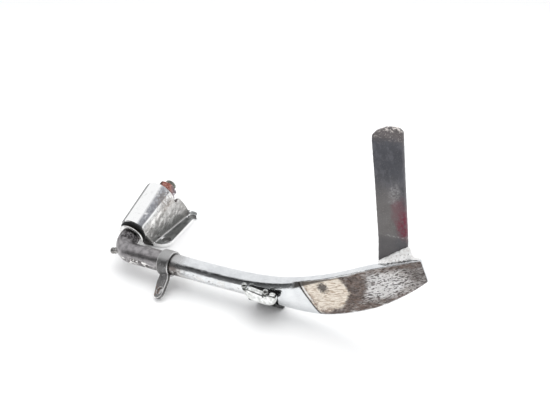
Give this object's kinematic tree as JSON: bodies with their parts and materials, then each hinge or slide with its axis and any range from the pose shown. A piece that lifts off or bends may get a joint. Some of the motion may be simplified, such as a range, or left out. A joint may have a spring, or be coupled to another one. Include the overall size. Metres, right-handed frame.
{
  "type": "motorcycle kickstand",
  "caption": "Chromed motorcycle side stand: a leg with a flattened foot and kick tab, hinged on a tilted post in a cast bolt-on bracket.",
  "frame": {"origin": "centre of the stand's bounding box in plan, on the plane of the bracket's mounting face", "axes": "+X along the leg from the pivot to the foot, +Y across it towards the upper end of the pivot, +Z away from the mounting face and the way the kick tab points"},
  "size_m": [0.3004, 0.1483, 0.18],
  "materials": {
    "worn_chrome": "bright chrome plate with scratches, clouding and a worn, rust-flecked foot",
    "clouded_chrome": "chrome plate over a casting, clouded and stained",
    "dark_steel": "dark, dull worn steel",
    "bright_steel": "bright machined steel",
    "weld_steel": "bright rippled weld metal",
    "rusty_steel": "steel with a coat of red-brown rust",
    "bronze": "plain bearing bronze",
    "black_rubber": "matt black rubber"
  },
  "bodies": {
    "bracket": {"mounting_bracket": "clouded_chrome", "lower_bush": "bronze", "upper_bush": "bronze", "dust_seal": "black_rubber"},
    "leg": {"leg": "worn_chrome", "pivot_post": "bright_steel", "post_pin": "bright_steel", "thrust_washer": "bright_steel", "wave_washer": "dark_steel", "flat_washer": "rusty_steel", "pivot_nut": "rusty_steel", "spring_clip": "dark_steel", "kick_tab": "dark_steel", "kick_tab_weld": "weld_steel", "bump_stop": "black_rubber", "keeper_plate": "worn_chrome", "keeper_rivet_front": "worn_chrome", "keeper_rivet_rear": "worn_chrome", "grease_nipple": "bright_steel", "nipple_ball": "bright_steel", "nipple_spring": "dark_steel"}
  },
  "joints": [
    {"name": "leg_pivot", "type": "hinge", "parent": "bracket", "child": "leg", "pos_m": [-0.13199, -0.04387, 0.01987], "axis": [0, -0.9521, -0.3057], "range_deg": [0, 100]}
  ]
}
